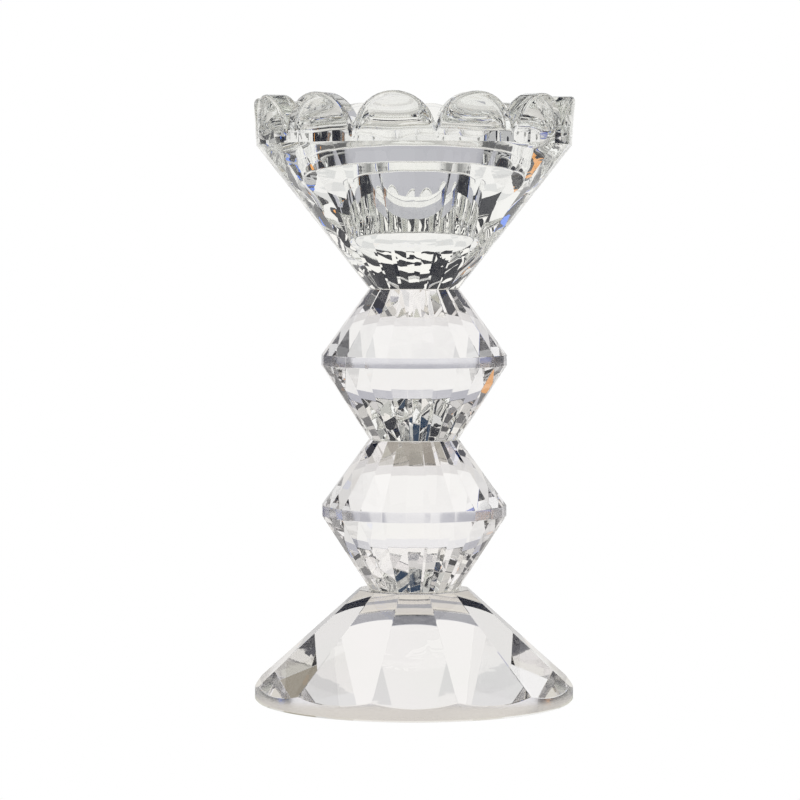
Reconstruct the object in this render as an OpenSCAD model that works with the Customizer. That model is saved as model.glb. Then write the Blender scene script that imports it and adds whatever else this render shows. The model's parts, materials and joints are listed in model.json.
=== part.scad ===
// Glass candlestick: a faceted foot, two faceted balls and a petalled candle cup,
// stacked on one axis and joined face to face by clear adhesive films.
// Millimetres, +Z up, origin at the middle of the underside.

/* [Base] */
// Radius of the round edge of the foot
base_r = 39.8; // [38:0.1:42]
// Height of the foot
base_h = 27.7; // [26:0.1:29]
// Height of the upright round edge at the middle of a facet
base_edge_h = 3.3; // [2:0.1:4]
// Slope of the facets from the horizontal, in degrees
base_slope = 42.8; // [41:0.1:44]
// Number of facets round the foot
base_facets = 12; // [8:1:16]
// Width of the bevel round the underside
base_bevel = 0.5; // [0.2:0.1:1]

/* [Balls] */
// Height of each ball
ball_h = 37.3; // [35:0.1:40]
// Height of the lower edge of the girdle above the ball's flat end
girdle_z = 18.3; // [16:0.1:20]
// Radius across the corners of the girdle
ball_r = 23.1; // [22:0.1:25]
// Height of the upright girdle
girdle_h = 2.6; // [1.5:0.1:4]
// Radius of the flat end of a ball
ball_end_r = 11.25; // [11:0.05:12]
// Number of facets round a ball
ball_facets = 24; // [16:1:32]
// Turn of the lower ball about the axis, in degrees
lower_turn = -5; // [-7.5:0.5:7.5]
// Turn of the upper ball about the axis, in degrees
upper_turn = -1.5; // [-7.5:0.5:7.5]

/* [Candle cup] */
// Height of the cup from its flat end to the top of a petal
cup_h = 47.4; // [46:0.1:50]
// Radius across the corners of the flat end of the cup
cup_end_r = 11.25; // [11.25:0.05:12.5]
// Radius across the corners of the edge where the cone meets the petals
corner_r = 39.2; // [38:0.1:40]
// Height of that edge above the flat end
corner_z = 35.5; // [34:0.1:37]
// Largest radius over the petals
petal_r = 40; // [39:0.1:41]
// Number of petals, with two flat facets on the cone to each
petals = 12; // [10:1:14]
// Azimuth of the middle of the first petal, in degrees
petal_turn = -7.5; // [-15:0.5:15]
// Radius of the bow of a petal, seen from above
petal_bow_r = 22; // [18:0.5:26]
// Radius at the inner edge of the petals' flat rim
rim_inner_r = 34.6; // [33:0.1:36]
// Width of the bevel on the petals' edges
rim_bevel = 1; // [0.5:0.1:1.5]

/* [Candle seats] */
// Radius of the recess for a tealight
recess_r = 20.2; // [20:0.05:21]
// Height of the recess floor above the flat end of the cup
recess_floor = 34.5; // [32:0.1:36]
// Height of the flat ledge round the recess
ledge_z = 39.4; // [39:0.1:41]
// Width of that ledge
ledge_w = 1.8; // [1:0.1:3]
// How steeply the inside of the petals rises from the dish: 1 is an even slope
dish_curve = 4; // [1:0.5:6]
// Radius of the socket for a taper candle
socket_r = 11.1; // [11:0.05:11.5]
// Height of the socket floor above the flat end of the cup
socket_floor = 16.5; // [14:0.1:18]

/* [Adhesive] */
// Thickness of each adhesive film
film_h = 0.15; // [0.1:0.05:0.3]
// Radius of each adhesive film
film_r = 11.1; // [10.5:0.1:11.2]

/* [Hidden] */
$fn = 96;

// Heights of the stack, from the foot up
lower_ball_z = base_h + film_h;
middle_film_z = lower_ball_z + ball_h;
upper_ball_z = middle_film_z + film_h;
cup_film_z = upper_ball_z + ball_h;
cup_z = cup_film_z + film_h;

glass = [0.88, 0.93, 0.92, 0.45];
adhesive = [0.95, 0.95, 0.92, 0.6];

// Petal outline: an almost semicircular arch, seen from outside, that ends at the valleys
half_pitch = 180 / petals;
arch_end = 82;
valley_r = petal_r * bow(half_pitch);
arch_r = valley_r * sin(half_pitch) / sin(arch_end);
arch_z = cup_h - arch_r;
// Half-angles of the columns of points across one petal, from one valley towards the next;
// they are closer together near the valleys, and fall on the corners of the facets
petal_angles = [for (turn = [-90 : 15 : 75]) half_pitch * sin(turn)];

// Height of an arch of radius r at the half-angle a; the valley stops just above its centre
function arch_height(a, r) = arch_z + sqrt(max(pow(r, 2) - pow(valley_r * sin(a), 2), 0.1));
// Radius of a petal's bow at the half-angle a, as a share of its largest radius
function bow(a) =
    let (c = 1 - petal_bow_r / petal_r)
    c * cos(a) + sqrt(pow(1 - c, 2) - pow(c * sin(a), 2));
// The same bow, with only a share of its depth
function part_bow(a, share) = 1 - share * (1 - bow(a));
// Radius of a ring of flat facets at the half-angle a, as a share of the radius of its corners;
// one facet lies in the middle of a petal and the next in the middle of a valley
function facet(a) = cos(half_pitch / 2) / cos(min(abs(a), half_pitch - abs(a)));

// [radius, height] of each row of points from the flat end of the cup, over the petal
// and down to the ledge, at the half-angle a
function cup_column(a) =
    let (face = arch_height(a, arch_r - rim_bevel), top = arch_height(a, arch_r),
         outer = petal_r * bow(a), inner = rim_inner_r * part_bow(a, 0.5),
         ledge_r = recess_r + ledge_w, lip = inner - rim_bevel, lip_z = max(top - rim_bevel, ledge_z - 1))
    concat(
        [[cup_end_r * facet(a), 0],
         [corner_r * facet(a), corner_z]],
        [for (t = [0.3, 0.65])
            [(corner_r + (petal_r - corner_r) * t) * (facet(a) + (bow(a) - facet(a)) * t),
             corner_z + (face - corner_z) * t]],
        [[outer, face],
         [outer - rim_bevel, top],
         [inner, top],
         [lip, lip_z]],
        [for (t = [0.07, 0.16, 0.28, 0.45, 0.7])
            [lip + (ledge_r - lip) * t, ledge_z + (lip_z - ledge_z) * pow(1 - t, dish_curve)]],
        [[ledge_r, ledge_z]]);

// Closed solid through rings of points: each ring has the same number of points,
// and the first and last rings are closed by a fan of triangles
module ring_solid(rings) {
    n = len(rings[0]);
    last = len(rings) - 1;
    low = (last + 1) * n;
    points = concat([for (ring = rings) each ring],
                    [[0, 0, rings[0][0].z], [0, 0, rings[last][0].z]]);
    faces = concat(
        [for (k = [0 : n - 1]) [low, k, (k + 1) % n]],
        [for (j = [0 : last - 1], k = [0 : n - 1])
            let (a = j * n + k, b = j * n + (k + 1) % n)
            each [[a, a + n, b], [b, a + n, b + n]]],
        [for (k = [0 : n - 1]) [low + 1, last * n + (k + 1) % n, last * n + k]]);
    polyhedron(points, faces);
}

// One faceted ball, standing on its flat end
module faceted_ball(turn) {
    profile = [[ball_end_r, 0], [ball_r, girdle_z],
               [ball_r, girdle_z + girdle_h], [ball_end_r, ball_h]];
    pitch = 360 / ball_facets;
    rings = [for (p = profile) [for (k = [0 : ball_facets - 1])
        let (az = turn - 90 + k * pitch) [p.x * cos(az), p.x * sin(az), p.y]]];
    ring_solid(rings);
}

// Solid foot: a round bevelled disc, cut by a ring of sloping planes
module base() {
    color(glass)
    difference() {
        rotate_extrude()
            polygon([[0, 0], [base_r - base_bevel, 0], [base_r, base_bevel],
                     [base_r, base_h], [0, base_h]]);
        for (k = [0 : base_facets - 1])
            rotate([0, 0, k * 360 / base_facets])
            translate([0, -base_r, base_edge_h])
            rotate([base_slope, 0, 0])
            translate([-base_r, -base_r / 2, 0])
                cube([2 * base_r, 2 * base_r, base_r]);
    }
}

module lower_ball() {
    color(glass) translate([0, 0, lower_ball_z]) faceted_ball(lower_turn);
}

module upper_ball() {
    color(glass) translate([0, 0, upper_ball_z]) faceted_ball(upper_turn);
}

// Body of the cup before the candle seats are cut: faceted cone, petals and inner dish
module cup_blank() {
    columns = [for (a = petal_angles) cup_column(a)];
    rows = len(columns[0]);
    rings = [for (j = [0 : rows - 1]) [for (p = [0 : petals - 1], i = [0 : len(columns) - 1])
        let (az = petal_turn - 90 + p * 2 * half_pitch + petal_angles[i], q = columns[i][j])
        [q.x * cos(az), q.x * sin(az), q.y]]];
    ring_solid(rings);
}

module candle_cup() {
    color(glass)
    translate([0, 0, cup_z])
    difference() {
        cup_blank();
        translate([0, 0, recess_floor]) cylinder(r = recess_r, h = cup_h);
        translate([0, 0, socket_floor]) cylinder(r = socket_r, h = cup_h);
    }
}

// Thin disc of clear adhesive that fills the joint between two pieces of glass
module adhesive_film(z) {
    color(adhesive) translate([0, 0, z]) cylinder(r = film_r, h = film_h);
}

module base_adhesive() {
    adhesive_film(base_h);
}

module middle_adhesive() {
    adhesive_film(middle_film_z);
}

module cup_adhesive() {
    adhesive_film(cup_film_z);
}

base();
lower_ball();
upper_ball();
candle_cup();
base_adhesive();
middle_adhesive();
cup_adhesive();
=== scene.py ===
"""Looks of the glass candlestick: cut-glass foot and balls, a pressed-glass petalled cup and the
clear adhesive films between them. The camera sees a plain white table and wall behind them, and
the glass sees light panels and cards, with a near-dark room between them."""

import json
from math import cos, degrees, pi, radians, sin, sqrt, tan

import bmesh
import bpy
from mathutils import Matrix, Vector


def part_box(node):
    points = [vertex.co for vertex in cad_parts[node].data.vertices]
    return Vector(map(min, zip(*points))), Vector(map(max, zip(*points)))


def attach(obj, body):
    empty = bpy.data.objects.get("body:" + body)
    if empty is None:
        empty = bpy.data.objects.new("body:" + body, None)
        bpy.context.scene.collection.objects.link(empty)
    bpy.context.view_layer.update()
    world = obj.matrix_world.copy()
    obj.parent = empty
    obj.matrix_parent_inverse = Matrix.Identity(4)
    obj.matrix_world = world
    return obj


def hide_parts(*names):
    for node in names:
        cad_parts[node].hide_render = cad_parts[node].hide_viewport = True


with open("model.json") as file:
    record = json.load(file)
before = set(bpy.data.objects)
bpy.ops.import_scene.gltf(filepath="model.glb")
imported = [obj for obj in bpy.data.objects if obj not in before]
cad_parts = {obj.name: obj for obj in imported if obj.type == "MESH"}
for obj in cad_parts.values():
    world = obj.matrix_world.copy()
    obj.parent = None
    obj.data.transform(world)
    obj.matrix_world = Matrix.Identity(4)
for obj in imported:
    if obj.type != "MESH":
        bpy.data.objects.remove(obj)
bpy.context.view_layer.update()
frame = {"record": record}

MM = 0.001
# Material slots after a piece's own look
BONDED_SLOT = 1
GROUND_SLOT = 2


# ---------------------------------------------------------------- frame dimensions
def node_z(node):
    """Lowest and highest z of a CAD node, in metres."""
    low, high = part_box(node)
    return low[2], high[2]


def node_radius(node):
    """Farthest reach of a CAD node along X or Y, in metres."""
    low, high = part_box(node)
    return max(high[0], high[1], -low[0], -low[1])


BASE_R = node_radius("base")
FILM_R = node_radius("base_adhesive")
# The bonded faces of the foot and balls end just inside the films' uneven edges
BONDED_SHARE = 0.985
BONDED_R = FILM_R * BONDED_SHARE
MOUNTS = {m["name"]: m for m in frame["record"]["mounts"]}


# ---------------------------------------------------------------- mesh helpers
def new_object(name, data):
    """A new object in the scene, for a mesh or a camera."""
    obj = bpy.data.objects.new(name, data)
    bpy.context.scene.collection.objects.link(obj)
    return obj


def finish_mesh(bm, name, smooth_angle=None):
    """bmesh to object, with normals outward; faces are smooth up to an edge angle in degrees."""
    bmesh.ops.recalc_face_normals(bm, faces=bm.faces)
    if smooth_angle is not None:
        for face in bm.faces:
            face.smooth = True
        for edge in bm.edges:
            if len(edge.link_faces) == 2:
                edge.smooth = edge.calc_face_angle(0) < radians(smooth_angle)
    mesh = bpy.data.meshes.new(name)
    bm.to_mesh(mesh)
    bm.free()
    return new_object(name, mesh)


def ring(bm, points):
    """The corners of a ring, in order."""
    return [bm.verts.new(p) for p in points]


def bridge(bm, low, high):
    """Quads between two rings with the same number of corners."""
    n = len(low)
    return [bm.faces.new((low[k], low[(k + 1) % n], high[(k + 1) % n], high[k])) for k in range(n)]


def polar(r, azimuth, z):
    """A point at an azimuth in degrees from the front, positive towards +X."""
    return Vector((r * sin(radians(azimuth)), -r * cos(radians(azimuth)), z))


def circle(r, z, count, turn=0.0):
    """Points spaced evenly round the axis."""
    return [polar(r, turn + 360 * k / count, z) for k in range(count)]


UPRIGHT = 0.02  # the normal of an upright face has less than this along z


def mark_ground(bm):
    """The upright faces are finely ground and not polished clear."""
    for face in bm.faces:
        if abs(face.normal.z) < UPRIGHT:
            face.material_index = GROUND_SLOT


def cut_bevel(bm, width, least_angle):
    """A fine bevel along every edge that turns by more than an angle in degrees,
    as polishing leaves it."""
    edges = [e for e in bm.edges if len(e.link_faces) == 2
             and e.calc_face_angle(0) > radians(least_angle)]
    bmesh.ops.bevel(bm, geom=edges, offset=width, segments=1, profile=0.5, affect="EDGES",
                    clamp_overlap=True)


# ---------------------------------------------------------------- balls
BALL_R = 23.1 * MM
BALL_END_R = 11.25 * MM
BALL_FACETS = 24
GIRDLE_Z = 18.3 * MM
GIRDLE_H = 2.6 * MM
LOWER_TURN = -5
UPPER_TURN = -1.5
BALL_BEVEL = 0.06 * MM
BALL_BEVEL_ANGLE = 5


def faceted_ball(name, node, turn):
    """Two cones of flat facets on an upright girdle, turned about the axis by an angle in degrees."""
    low_z, high_z = node_z(node)
    bm = bmesh.new()
    levels = [(BALL_END_R, low_z), (BALL_R, low_z + GIRDLE_Z),
              (BALL_R, low_z + GIRDLE_Z + GIRDLE_H), (BALL_END_R, high_z)]
    rings = [ring(bm, circle(r, z, BALL_FACETS, turn)) for r, z in levels]
    for a, b in zip(rings, rings[1:]):
        bridge(bm, a, b)
    for end, z in ((rings[0], low_z), (rings[-1], high_z)):
        inner = ring(bm, circle(BONDED_R, z, BALL_FACETS, turn))
        bridge(bm, end, inner)
        bm.faces.new(inner).material_index = BONDED_SLOT
    bmesh.ops.recalc_face_normals(bm, faces=bm.faces)
    mark_ground(bm)
    cut_bevel(bm, BALL_BEVEL, BALL_BEVEL_ANGLE)
    return finish_mesh(bm, name)


# ---------------------------------------------------------------- base
BASE_FACETS = 12
BASE_SLOPE = 42.8
BASE_EDGE = 3.3 * MM
BASE_BEVEL = 0.5 * MM
BASE_STEPS = 240
BASE_CUT_BEVEL = BALL_BEVEL * 1.5
BASE_BEVEL_ANGLE = 12  # edges that turn by less get no bevel
BASE_SMOOTH_ANGLE = 6  # edges that turn by less look smooth
# A corner this near a cutting plane, in metres, counts as on it
ON_PLANE = 1e-7


def base_block(name):
    """A round bevelled disc, cut by a ring of sloping planes."""
    low_z, high_z = node_z("base")
    bm = bmesh.new()
    levels = [(BASE_R - BASE_BEVEL, low_z), (BASE_R, low_z + BASE_BEVEL), (BASE_R, high_z)]
    rings = [ring(bm, circle(r, z, BASE_STEPS)) for r, z in levels]
    for a, b in zip(rings, rings[1:]):
        bridge(bm, a, b)
    bm.faces.new(rings[0])
    bm.faces.new(rings[-1])
    slope = radians(BASE_SLOPE)
    for k in range(BASE_FACETS):
        azimuth = 360 * k / BASE_FACETS
        out = polar(sin(slope), azimuth, cos(slope))
        cut = bmesh.ops.bisect_plane(
            bm, geom=bm.verts[:] + bm.edges[:] + bm.faces[:], dist=ON_PLANE,
            plane_co=polar(BASE_R, azimuth, low_z + BASE_EDGE), plane_no=out, clear_outer=True)
        edges = [e for e in cut["geom_cut"] if isinstance(e, bmesh.types.BMEdge)]
        bmesh.ops.contextual_create(bm, geom=edges)
    bm.normal_update()
    top = max(bm.faces, key=lambda f: f.calc_center_median().z)
    top_apothem = BASE_R - (high_z - low_z - BASE_EDGE) / tan(slope)
    bmesh.ops.inset_region(bm, faces=[top], depth=0,
                           thickness=top_apothem - BONDED_R * cos(pi / BASE_FACETS))
    top.material_index = BONDED_SLOT
    bmesh.ops.recalc_face_normals(bm, faces=bm.faces)
    mark_ground(bm)
    cut_bevel(bm, BASE_CUT_BEVEL, BASE_BEVEL_ANGLE)
    return finish_mesh(bm, name, BASE_SMOOTH_ANGLE)


# ---------------------------------------------------------------- candle cup
# Lengths here are in mm, and heights are above the cup's flat end, except CUP_Z and CUP_TOP
PETALS = 12
PETAL_TURN = -7.5
PETAL_R = 40.0
PETAL_BOW_R = 22.0
CUP_END_R = 11.25
CORNER_R = 39.2
CORNER_Z = 35.5
CUP_Z, CUP_TOP = (z / MM for z in node_z("candle_cup"))
CUP_H = CUP_TOP - CUP_Z
RIM_INNER_R = 34.6
RIM_BEVEL = 1.0
RIM_BOW_SHARE = 0.5
LEDGE_W = 1.8
SEAT_ROUND = 0.4
# How far the lip may drop below the ledge, and how steeply the dish rises to it: 1 is an even slope
LIP_DROP = 1
DISH_CURVE = 4
CUP_SMOOTH_ANGLE = 9
# Steps up a petal and down into the dish, where they are shorter near the lip
RISE_STEPS = 9
DISH_STEPS = 24
DISH_BUNCH = 1.5


def seat(name):
    """Radius of a candle seat, and the heights of its floor and mouth."""
    mount = MOUNTS[name]
    middle = mount["pos_m"][2] / MM - CUP_Z
    half = mount["dims"]["length_mm"] / 2
    return mount["dims"]["r_mm"], middle - half, middle + half


RECESS_R, RECESS_FLOOR, LEDGE_Z = seat("tealight_recess")
SOCKET_R, SOCKET_FLOOR, _ = seat("taper_socket")
LEDGE_R = RECESS_R + LEDGE_W
ARCH_END = 82
HALF_PITCH = 180 / PETALS
PETAL_STEPS = 12
ROUND_STEPS = 12
# Half-angles of the points across one petal, closer together near the valleys
PETAL_ANGLES = [HALF_PITCH * sin(pi / 2 * i / PETAL_STEPS) for i in range(-PETAL_STEPS, PETAL_STEPS)]
CUP_AZIMUTHS = [PETAL_TURN + p * 2 * HALF_PITCH + a for p in range(PETALS) for a in PETAL_ANGLES]
QUARTER_TURN = [pi / 2 * k / ROUND_STEPS for k in range(ROUND_STEPS + 1)]


def bow(a):
    """Radius of a petal's bow at half-angle a, as a share of its largest radius."""
    c = 1 - PETAL_BOW_R / PETAL_R
    return c * cos(radians(a)) + sqrt((1 - c) ** 2 - (c * sin(radians(a))) ** 2)


def part_bow(a, share):
    """The same bow, with only a share of its depth."""
    return 1 - share * (1 - bow(a))


def facet(a):
    """Radius of a ring of flat facets, two to a petal, as a share of the radius of its corners."""
    return cos(radians(HALF_PITCH / 2)) / cos(radians(min(abs(a), HALF_PITCH - abs(a))))


VALLEY_R = PETAL_R * bow(HALF_PITCH)
ARCH_R = VALLEY_R * sin(radians(HALF_PITCH)) / sin(radians(ARCH_END))
ARCH_Z = CUP_H - ARCH_R
# Square of an arch's least height above its centre, which it has in the valleys
LEAST_RISE_SQUARED = 0.1


def arch_height(a, r):
    """Height of a petal's arch of radius r, at half-angle a."""
    x = VALLEY_R * sin(radians(a))
    return ARCH_Z + sqrt(max(r * r - x * x, LEAST_RISE_SQUARED))


def cup_column(a):
    """(radius, height) of each row of points on the cup, at half-angle a from a petal's middle."""
    rows = [(CUP_END_R * facet(a), 0), (CORNER_R * facet(a), CORNER_Z)]
    face, top = arch_height(a, ARCH_R - RIM_BEVEL), arch_height(a, ARCH_R)
    outer = PETAL_R * bow(a)
    for k in range(1, RISE_STEPS):
        t = k / RISE_STEPS
        rows.append(((CORNER_R + (PETAL_R - CORNER_R) * t) * (facet(a) + (bow(a) - facet(a)) * t),
                     CORNER_Z + (face - CORNER_Z) * t))
    # rim, with both edges rounded
    for turn in QUARTER_TURN:
        rows.append((outer - RIM_BEVEL * (1 - cos(turn)), face + (top - face) * sin(turn)))
    inner = RIM_INNER_R * part_bow(a, RIM_BOW_SHARE)
    lip, lip_z = inner - RIM_BEVEL, max(top - RIM_BEVEL, LEDGE_Z - LIP_DROP)
    rows.append(((outer - RIM_BEVEL + inner) / 2, top))
    for turn in QUARTER_TURN:
        rows.append((inner - RIM_BEVEL * sin(turn), lip_z + (top - lip_z) * cos(turn)))
    # dish, from the lip down to the ledge
    for k in range(1, DISH_STEPS):
        t = (k / DISH_STEPS) ** DISH_BUNCH
        rows.append((lip + (LEDGE_R - lip) * t, LEDGE_Z + (lip_z - LEDGE_Z) * (1 - t) ** DISH_CURVE))
    rows.append((LEDGE_R, LEDGE_Z))
    # recess and socket, with small rounded edges
    for r, top_z, floor_z in ((RECESS_R, LEDGE_Z, RECESS_FLOOR), (SOCKET_R, RECESS_FLOOR, SOCKET_FLOOR)):
        for turn in QUARTER_TURN:
            rows.append((r + SEAT_ROUND * (1 - sin(turn)), top_z - SEAT_ROUND * (1 - cos(turn))))
        for turn in QUARTER_TURN:
            rows.append((r - SEAT_ROUND * (1 - cos(turn)), floor_z + SEAT_ROUND * (1 - sin(turn))))
    return rows


def candle_cup(name):
    """Faceted cone, petals, dish and candle seats, in one closed skin."""
    low_z, _ = node_z("candle_cup")
    columns = [cup_column(a) for a in PETAL_ANGLES]
    bm = bmesh.new()
    rings = []
    for row in zip(*columns):
        rings.append(ring(bm, [polar(r * MM, azimuth, low_z + z * MM)
                               for azimuth, (r, z) in zip(CUP_AZIMUTHS, row * PETALS)]))
    for a, b in zip(rings, rings[1:]):
        bridge(bm, a, b)
    bm.faces.new(rings[-1])
    inner = ring(bm, [polar(FILM_R, azimuth, low_z) for azimuth in CUP_AZIMUTHS])
    bridge(bm, rings[0], inner)
    bm.faces.new(inner).material_index = BONDED_SLOT
    return finish_mesh(bm, name, CUP_SMOOTH_ANGLE)


# ---------------------------------------------------------------- adhesive films
FILM_STEPS = 144
# The film's edge wanders inward by up to this much, in a few broad waves and more narrow ones
FILM_WANDER = 0.12 * MM
BROAD_WAVES = 5
NARROW_WAVES = 11


def adhesive_film(name, node, phase):
    """A thin disc of resin with an uneven edge; phase sets where round it the waves lie."""
    rings = []
    bm = bmesh.new()
    for z in node_z(node):
        points = []
        for k in range(FILM_STEPS):
            turn = 2 * pi * k / FILM_STEPS
            wave = (0.5 + 0.25 * sin(BROAD_WAVES * turn + phase)
                    + 0.25 * sin(NARROW_WAVES * turn + 2 * phase))
            points.append(polar(FILM_R - FILM_WANDER * wave, degrees(turn), z))
        rings.append(ring(bm, points))
    bridge(bm, *rings)
    for end in rings:
        bm.faces.new(end).material_index = BONDED_SLOT
    return finish_mesh(bm, name)


# ---------------------------------------------------------------- materials
GLASS_IOR = 1.52
RESIN_IOR = 1.5
# Scales are in cells per metre, and a span is the part of the noise over which its effect comes in
TINT_SCALE = 45
TINT_SPAN = (0.45, 0.75)
SMUDGE_SCALE = 130
SMUDGE_SPAN = (0.55, 0.75)
# Polishing lines, drawn out along z, and how much of a smudge shows between them
LINE_SCALE = 900
LINE_SPAN = (0.4, 0.7)
LINE_STRETCH = (1, 1, 0.04)
LEAST_WEAR = 0.3


def node_material(name):
    """A material with an empty node tree, and its nodes and links."""
    mat = bpy.data.materials.new(name)
    mat.use_nodes = True
    nodes = mat.node_tree.nodes
    nodes.clear()
    return mat, nodes, mat.node_tree.links


def math_node(nodes, links, operation, *values):
    """A Math node; each value is a socket or a number."""
    node = nodes.new("ShaderNodeMath")
    node.operation = operation
    for socket, value in zip(node.inputs, values):
        if isinstance(value, bpy.types.NodeSocket):
            links.new(value, socket)
        else:
            socket.default_value = value
    return node.outputs[0]


def noise(nodes, links, position, scale, detail, stretch=None):
    """Noise in the object's own coordinates, which stretch multiplies first."""
    if stretch:
        mapping = nodes.new("ShaderNodeMapping")
        mapping.inputs["Scale"].default_value = stretch
        links.new(position, mapping.inputs["Vector"])
        position = mapping.outputs[0]
    texture = nodes.new("ShaderNodeTexNoise")
    texture.inputs["Scale"].default_value = scale
    texture.inputs["Detail"].default_value = detail
    links.new(position, texture.inputs["Vector"])
    return texture.outputs["Fac"]


def map_range(nodes, links, value, from_min, from_max, to_min, to_max):
    """A value carried from one range of numbers to another, and held within it."""
    node = nodes.new("ShaderNodeMapRange")
    for socket, number in zip(node.inputs[1:5], (from_min, from_max, to_min, to_max)):
        socket.default_value = number
    links.new(value, node.inputs["Value"])
    return node.outputs[0]


def blend(nodes, links, factor, first, second):
    """Mix of two colours; each is a socket or an RGB triple."""
    node = nodes.new("ShaderNodeMix")
    node.data_type = "RGBA"
    links.new(factor, node.inputs["Factor"])
    for key, value in (("A", first), ("B", second)):
        if isinstance(value, bpy.types.NodeSocket):
            links.new(value, node.inputs[key])
        else:
            node.inputs[key].default_value = (*value, 1)
    return node.outputs["Result"]


def glass_material(name, ior, tint, drift_tint, ripple, ripple_scale, rough, smudge):
    """Clear glass that drifts between two tints, with soft ripples, and smudges of polishing lines.
    ripple is the ripples' height in metres; rough and smudge are the least and most roughness."""
    mat, nodes, links = node_material(name)
    out = nodes.new("ShaderNodeOutputMaterial")
    glass = nodes.new("ShaderNodeBsdfGlass")
    glass.inputs["IOR"].default_value = ior
    position = nodes.new("ShaderNodeTexCoord").outputs["Object"]

    drift = noise(nodes, links, position, TINT_SCALE, detail=2)
    shade = blend(nodes, links, map_range(nodes, links, drift, *TINT_SPAN, 0, 1), tint, drift_tint)
    links.new(shade, glass.inputs["Color"])

    patches = noise(nodes, links, position, SMUDGE_SCALE, detail=4)
    lines = noise(nodes, links, position, LINE_SCALE, detail=1, stretch=LINE_STRETCH)
    worn = math_node(nodes, links, "MULTIPLY", map_range(nodes, links, patches, *SMUDGE_SPAN, 0, 1),
                     map_range(nodes, links, lines, *LINE_SPAN, LEAST_WEAR, 1))
    links.new(map_range(nodes, links, worn, 0, 1, rough, smudge), glass.inputs["Roughness"])

    wave = noise(nodes, links, position, ripple_scale, detail=1)
    bump = nodes.new("ShaderNodeBump")
    bump.inputs["Strength"].default_value = 1.0
    bump.inputs["Distance"].default_value = ripple
    links.new(wave, bump.inputs["Height"])
    links.new(bump.outputs[0], glass.inputs["Normal"])
    links.new(glass.outputs[0], out.inputs["Surface"])
    return mat


def bonded_material(name):
    """Bonded faces: light crosses them straight, because glass and adhesive bend it alike."""
    mat, nodes, links = node_material(name)
    out = nodes.new("ShaderNodeOutputMaterial")
    clear = nodes.new("ShaderNodeBsdfTransparent")
    links.new(clear.outputs[0], out.inputs["Surface"])
    return mat


CRYSTAL = glass_material(
    "cut_crystal", GLASS_IOR, tint=(0.997, 0.993, 0.993), drift_tint=(0.988, 0.990, 0.984),
    ripple=2e-6, ripple_scale=160, rough=0.0, smudge=0.05)
GROUND = glass_material(
    "ground_edge", GLASS_IOR, tint=(0.965, 0.965, 0.985), drift_tint=(0.93, 0.93, 0.95),
    ripple=8e-6, ripple_scale=700, rough=0.16, smudge=0.30)
PRESSED = glass_material(
    "pressed_glass", GLASS_IOR, tint=(0.997, 0.998, 0.993), drift_tint=(0.985, 0.992, 0.980),
    ripple=6e-5, ripple_scale=150, rough=0.0, smudge=0.03)
ADHESIVE = glass_material(
    "clear_adhesive", RESIN_IOR, tint=(0.96, 0.96, 0.94), drift_tint=(0.90, 0.90, 0.86),
    ripple=4e-6, ripple_scale=900, rough=0.02, smudge=0.12)
BONDED = bonded_material("bonded_face")


def place(obj, node, slot, *looks):
    """Gives a piece a look for each material slot that its faces use, and puts it in its node's place."""
    for look in looks:
        obj.data.materials.append(look)
    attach(obj, "root")
    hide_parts(node)


place(base_block("crystal_foot"), "base", "cut_crystal", CRYSTAL, BONDED, GROUND)
for ball, node, turn in (("crystal_ball_lower", "lower_ball", LOWER_TURN),
                         ("crystal_ball_upper", "upper_ball", UPPER_TURN)):
    place(faceted_ball(ball, node, turn), node, "cut_crystal", CRYSTAL, BONDED, GROUND)
place(candle_cup("petal_cup"), "candle_cup", "pressed_glass", PRESSED, BONDED)
for film, node, phase in (("foot_bond", "base_adhesive", 0.3), ("ball_bond", "middle_adhesive", 1.7),
                          ("cup_bond", "cup_adhesive", 2.9)):
    place(adhesive_film(film, node, phase), node, "clear_adhesive", ADHESIVE, BONDED)


# ---------------------------------------------------------------- camera
# The lens and sensor are in mm, and the places in metres
LENS = 140.9
SENSOR = 36
FAR_CLIP = 100
DISTANCE = 0.780
CAMERA_Z = 0.1156
AIM_Z = 0.0749
AXIS_OFFSET = -0.0035

camera_data = bpy.data.cameras.new("camera")
camera_data.lens = LENS
camera_data.sensor_width = SENSOR
camera_data.clip_end = FAR_CLIP
camera = new_object("camera", camera_data)
camera.location = (AXIS_OFFSET, -DISTANCE, CAMERA_Z)
aim = Vector((AXIS_OFFSET, 0, AIM_Z)) - camera.location
camera.rotation_euler = aim.to_track_quat("-Z", "Y").to_euler()
bpy.context.scene.camera = camera


# ---------------------------------------------------------------- studio
# The panels lie on a sphere of this radius, about a point at this height on the axis
STUDIO_RANGE = 3.0
STUDIO_Z = 0.075
ARC_STEP = 6  # degrees from one corner of a panel or card to the next, nearly
TABLE_HALF = 6.0
# The table and the cards on it lie just clear of the foot's underside
TABLE_Z = -0.0001
CARD_Z = -0.00005
# Light of the table by azimuth, from the front (0) round to straight behind (1): under the foot, darker
# there as a painted shadow, near it, far from it and out at the edge. The distances in metres are where
# one gives way to the next
TABLE_UNDER_SHADE = ((0.0, (0.37, 0.34, 0.30)), (0.42, (0.66, 0.68, 0.58)), (1.0, (0.74, 0.70, 0.64)))
TABLE_MID = ((0.0, (0.62, 0.60, 0.57)), (0.5, (0.58, 0.57, 0.55)), (0.75, (0.72, 0.70, 0.68)),
             (1.0, (0.88, 0.86, 0.83)))
TABLE_FAR = ((0.10, (0.06, 0.06, 0.07)), (0.24, (0.48, 0.47, 0.46)), (0.5, (0.26, 0.26, 0.26)),
             (0.76, (0.78, 0.77, 0.76)), (0.84, (0.93, 0.92, 0.91)), (1.0, (0.96, 0.95, 0.93)))
TABLE_EDGE = ((0.10, (0.05, 0.05, 0.06)), (0.5, (0.12, 0.12, 0.12)), (0.77, (0.12, 0.12, 0.13)),
              (0.81, (0.93, 0.92, 0.91)), (1.0, (0.93, 0.92, 0.91)))
UNDER_TO_MID = (0.041, 0.055)
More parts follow.
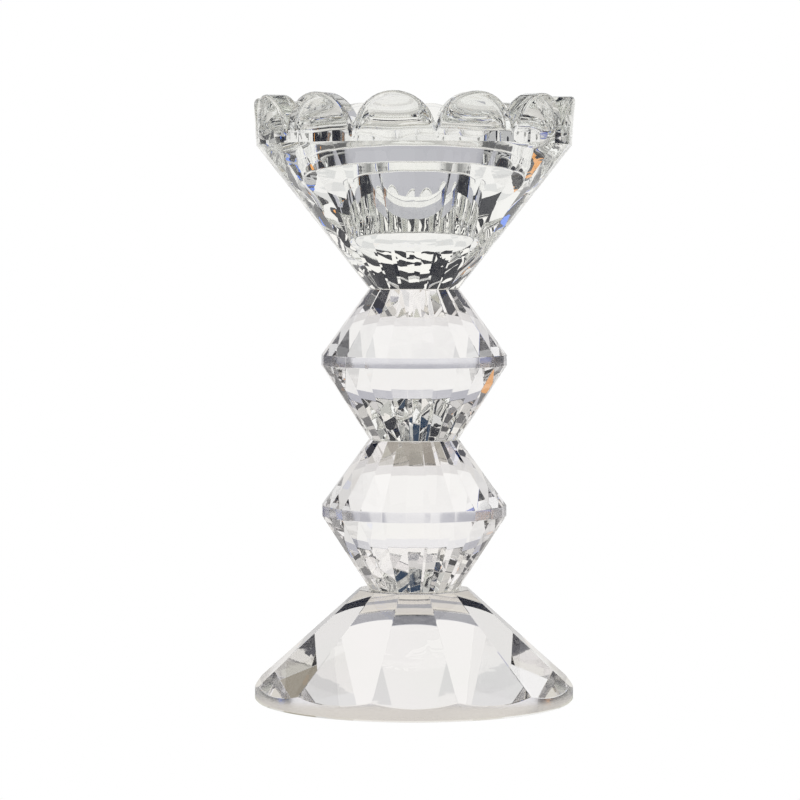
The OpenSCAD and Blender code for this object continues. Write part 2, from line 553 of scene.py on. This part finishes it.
MID_TO_FAR = (0.23, 0.27)
FAR_TO_EDGE = (0.75, 0.85)
WHITE = (1.0, 1.0, 1.0)
WARM_WHITE = (0.95, 0.94, 0.92)
ROOM = (0.010, 0.012, 0.022)
ORANGE = (1.0, 0.42, 0.08)
BLUE = (0.08, 0.25, 1.0)
NAVY = (0.02, 0.045, 0.09)


def light_by_ray(nodes, links, seen, cast, out):
    """One light where the camera sees the stage itself, and another for all other rays."""
    path = nodes.new("ShaderNodeLightPath")
    mix = nodes.new("ShaderNodeMixShader")
    links.new(path.outputs["Is Camera Ray"], mix.inputs["Fac"])
    links.new(cast.outputs[0], mix.inputs[1])
    links.new(seen.outputs[0], mix.inputs[2])
    links.new(mix.outputs[0], out.inputs["Surface"])


def emission(nodes, colour):
    """Even light of one colour."""
    node = nodes.new("ShaderNodeEmission")
    node.inputs["Color"].default_value = (*colour, 1)
    return node


def colour_ramp(nodes, links, value, stops):
    """The colour at a value from 0 to 1, between stops of (value, colour)."""
    node = nodes.new("ShaderNodeValToRGB")
    band = node.color_ramp
    while len(band.elements) < len(stops):
        band.elements.new(0.5)
    for element, (position, colour) in zip(band.elements, stops):
        element.position = position
        element.color = (*colour, 1)
    links.new(value, node.inputs[0])
    return node.outputs[0]


def table():
    """A table that is white to the camera, and to the glass brightest behind the object, with painted
    shadow under the foot.
    """
    bm = bmesh.new()
    half = TABLE_HALF
    bm.faces.new(ring(bm, [(-half, -half, 0), (half, -half, 0), (half, half, 0), (-half, half, 0)]))
    floor = finish_mesh(bm, "floor")
    mat, nodes, links = node_material("white_table")
    out = nodes.new("ShaderNodeOutputMaterial")
    position = nodes.new("ShaderNodeTexCoord").outputs["Object"]
    axes = nodes.new("ShaderNodeSeparateXYZ")
    links.new(position, axes.inputs[0])
    x, y = axes.outputs["X"], axes.outputs["Y"]
    reach = math_node(nodes, links, "POWER", math_node(
        nodes, links, "ADD", math_node(nodes, links, "MULTIPLY", x, x),
        math_node(nodes, links, "MULTIPLY", y, y)), 0.5)
    aside = math_node(nodes, links, "ABSOLUTE", math_node(nodes, links, "ARCTAN2", x, y))
    turn = math_node(nodes, links, "SUBTRACT", 1.0, math_node(nodes, links, "DIVIDE", aside, pi))
    # Start from the painted shadow under the foot, then blend out to the near, far and edge zones
    shade = colour_ramp(nodes, links, turn, TABLE_UNDER_SHADE)
    for stops, zone in ((TABLE_MID, UNDER_TO_MID), (TABLE_FAR, MID_TO_FAR), (TABLE_EDGE, FAR_TO_EDGE)):
        shade = blend(nodes, links, map_range(nodes, links, reach, *zone, 0, 1), shade,
                      colour_ramp(nodes, links, turn, stops))
    cast = emission(nodes, WHITE)
    links.new(shade, cast.inputs["Color"])
    light_by_ray(nodes, links, emission(nodes, WHITE), cast, out)
    floor.data.materials.append(mat)
    floor.location.z = TABLE_Z


def light_up(obj, name, colour):
    """Even light from a stage object, which the camera itself doesn't see."""
    mat, nodes, links = node_material("light_" + name)
    out = nodes.new("ShaderNodeOutputMaterial")
    links.new(emission(nodes, colour).outputs[0], out.inputs["Surface"])
    obj.data.materials.append(mat)
    obj.visible_camera = False


def arc_steps(span):
    """How many steps an arc is made in, from its (first, last) angles in degrees."""
    return max(1, round((span[1] - span[0]) / ARC_STEP))


def studio_panel(name, azimuths, elevations, colour):
    """A curved panel of even light, from one azimuth and elevation to another, in degrees.
    Azimuth 0 is straight behind the object, and it grows towards +X."""
    bm = bmesh.new()
    steps = arc_steps(azimuths)
    rows = arc_steps(elevations)
    grid = []
    for j in range(rows + 1):
        lift = radians(elevations[0] + (elevations[1] - elevations[0]) * j / rows)
        line = []
        for k in range(steps + 1):
            turn = radians(azimuths[0] + (azimuths[1] - azimuths[0]) * k / steps)
            line.append(bm.verts.new((STUDIO_RANGE * cos(lift) * sin(turn),
                                      STUDIO_RANGE * cos(lift) * cos(turn),
                                      STUDIO_Z + STUDIO_RANGE * sin(lift))))
        grid.append(line)
    for low, high in zip(grid, grid[1:]):
        for k in range(steps):
            bm.faces.new((low[k], low[k + 1], high[k + 1], high[k]))
    light_up(finish_mesh(bm, "panel_" + name), name, colour)


def table_card(name, azimuths, radii, colour):
    """A flat sector of even light just above the table, placed as a studio panel is."""
    bm = bmesh.new()
    steps = arc_steps(azimuths)
    turns = [180 - azimuths[0] - (azimuths[1] - azimuths[0]) * k / steps for k in range(steps + 1)]
    inner, outer = [ring(bm, [polar(r, turn, CARD_Z) for turn in turns]) for r in radii]
    for k in range(steps):
        bm.faces.new((inner[k], inner[k + 1], outer[k + 1], outer[k]))
    light_up(finish_mesh(bm, "card_" + name), name, colour)


def studio_world(seen, cast):
    """The room around the stage: one colour to the camera, and another to the glass."""
    world = bpy.data.worlds.new("studio")
    bpy.context.scene.world = world
    world.use_nodes = True
    nodes, links = world.node_tree.nodes, world.node_tree.links
    room = nodes["Background"]
    room.inputs["Color"].default_value = (*cast, 1)
    wall = nodes.new("ShaderNodeBackground")
    wall.inputs["Color"].default_value = (*seen, 1)
    light_by_ray(nodes, links, wall, room, nodes["World Output"])


table()
# A dim ring just outside the foot as a painted shadow, two pale cards in front of it and two coloured
# ones behind it
table_card("foot_shadow", (0, 360), (0.0428, 0.0468), (0.42, 0.42, 0.43))
table_card("front_left", (180, 222), (0.062, 0.25), (0.90, 0.88, 0.86))
table_card("front_right", (150, 180), (0.26, 0.42), (0.92, 0.90, 0.86))
table_card("glint_blue", (-38, -34), (0.45, 2.5), (0.16, 0.20, 0.55))
table_card("glint_orange", (-51, -47), (2.0, 2.95), (0.85, 0.36, 0.06))
# Behind the object, from the table up
studio_panel("horizon", (-34, 34), (-3, 2), (0.76, 0.76, 0.76))
studio_panel("backdrop", (-38, 38), (2, 16), (0.92, 0.91, 0.90))
studio_panel("backdrop_side", (42, 84), (2, 5), (0.50, 0.50, 0.51))
studio_panel("upper_backdrop", (-44, 44), (16, 27), (0.50, 0.50, 0.54))
studio_panel("high_grey", (-30, 30), (33, 38), (0.45, 0.45, 0.47))
# Long strips at both sides, and a ceiling of narrow ones
LEFT_SPAN = (-96, -31)
RIGHT_SPAN = (31, 96)
for side, azimuths, higher_azimuths in (("left", LEFT_SPAN, (-96, -53)), ("right", RIGHT_SPAN, (53, 96))):
    studio_panel("high_strip_" + side, azimuths, (32, 36.5), WARM_WHITE)
    studio_panel("higher_strip_" + side, higher_azimuths, (47, 50), WARM_WHITE)
for k in range(9):
    start = -94 + 22 * k
    studio_panel("ceiling_%d" % k, (start, start + 13), (58, 88), (1.0, 0.98, 0.95))
# Coloured fringes along the backdrop's sides and the long strips' edges
studio_panel("fringe_left", (-45.5, -44), (2, 27), ORANGE)
studio_panel("fringe_right", (44, 45.5), (2, 27), BLUE)
for k, (azimuths, low, colour) in enumerate(((LEFT_SPAN, 30.8, ORANGE), (RIGHT_SPAN, 30.8, ORANGE),
                                             (LEFT_SPAN, 36.7, BLUE), (RIGHT_SPAN, 36.7, BLUE))):
    studio_panel("fringe_%d" % k, azimuths, (low, low + 0.8), colour)
# On the camera's side
studio_panel("front_left", (-152, -96), (-2, 60), WHITE)
studio_panel("front_right", (98, 152), (-2, 22), (0.80, 0.80, 0.80))
studio_panel("front_right_warm", (98, 152), (22, 36), (0.36, 0.33, 0.27))
studio_panel("front_right_high", (98, 152), (36, 56), (0.70, 0.70, 0.70))
studio_panel("behind_camera", (152, 212), (8, 48), (0.66, 0.65, 0.64))
studio_panel("behind_camera_high", (166, 217), (48, 60), (0.88, 0.85, 0.82))
studio_panel("behind_camera_top", (187, 217), (60, 70), (0.55, 0.55, 0.53))
# Dim blue high up at the front and back
studio_panel("navy_front", (148, 180), (60, 71), NAVY)
studio_panel("navy_back", (-20, 20), (50, 57.5), NAVY)

studio_world(WHITE, ROOM)

CLEAR_BOUNCES = 32
GLOSSY_BOUNCES = 16

scene = bpy.context.scene
scene.view_settings.view_transform = "Standard"
scene.cycles.max_bounces = CLEAR_BOUNCES
scene.cycles.transmission_bounces = CLEAR_BOUNCES
scene.cycles.transparent_max_bounces = CLEAR_BOUNCES
scene.cycles.glossy_bounces = GLOSSY_BOUNCES
